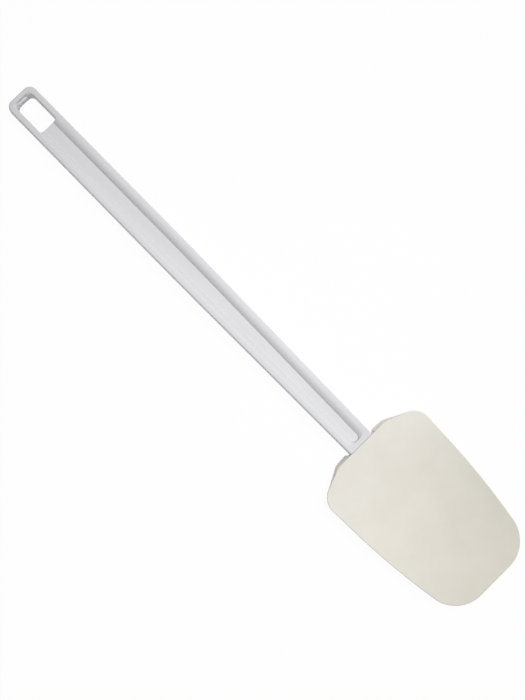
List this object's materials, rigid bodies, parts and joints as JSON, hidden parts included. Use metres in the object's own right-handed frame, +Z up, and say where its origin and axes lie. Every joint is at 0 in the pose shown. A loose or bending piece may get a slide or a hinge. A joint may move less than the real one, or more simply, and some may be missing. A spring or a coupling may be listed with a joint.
{
  "type": "spoon spatula",
  "caption": "Spoon-shaped spatula with a dished flexible rubber blade keyed onto a recessed I-beam plastic handle that ends in a hang loop, for scooping, folding and scraping.",
  "frame": {"origin": "middle of the part's bounding box in X and Y, on the plane that it lies on", "axes": "+X from the hang loop to the blade's tip, +Y across the handle, +Z up out of the dish"},
  "size_m": [0.3556, 0.07, 0.009],
  "materials": {
    "handle_plastic": "white semi-gloss injection moulding",
    "blade_rubber": "cream matte moulded rubber"
  },
  "bodies": {
    "root": {"handle": "handle_plastic", "blade": "blade_rubber"}
  },
  "joints": []
}
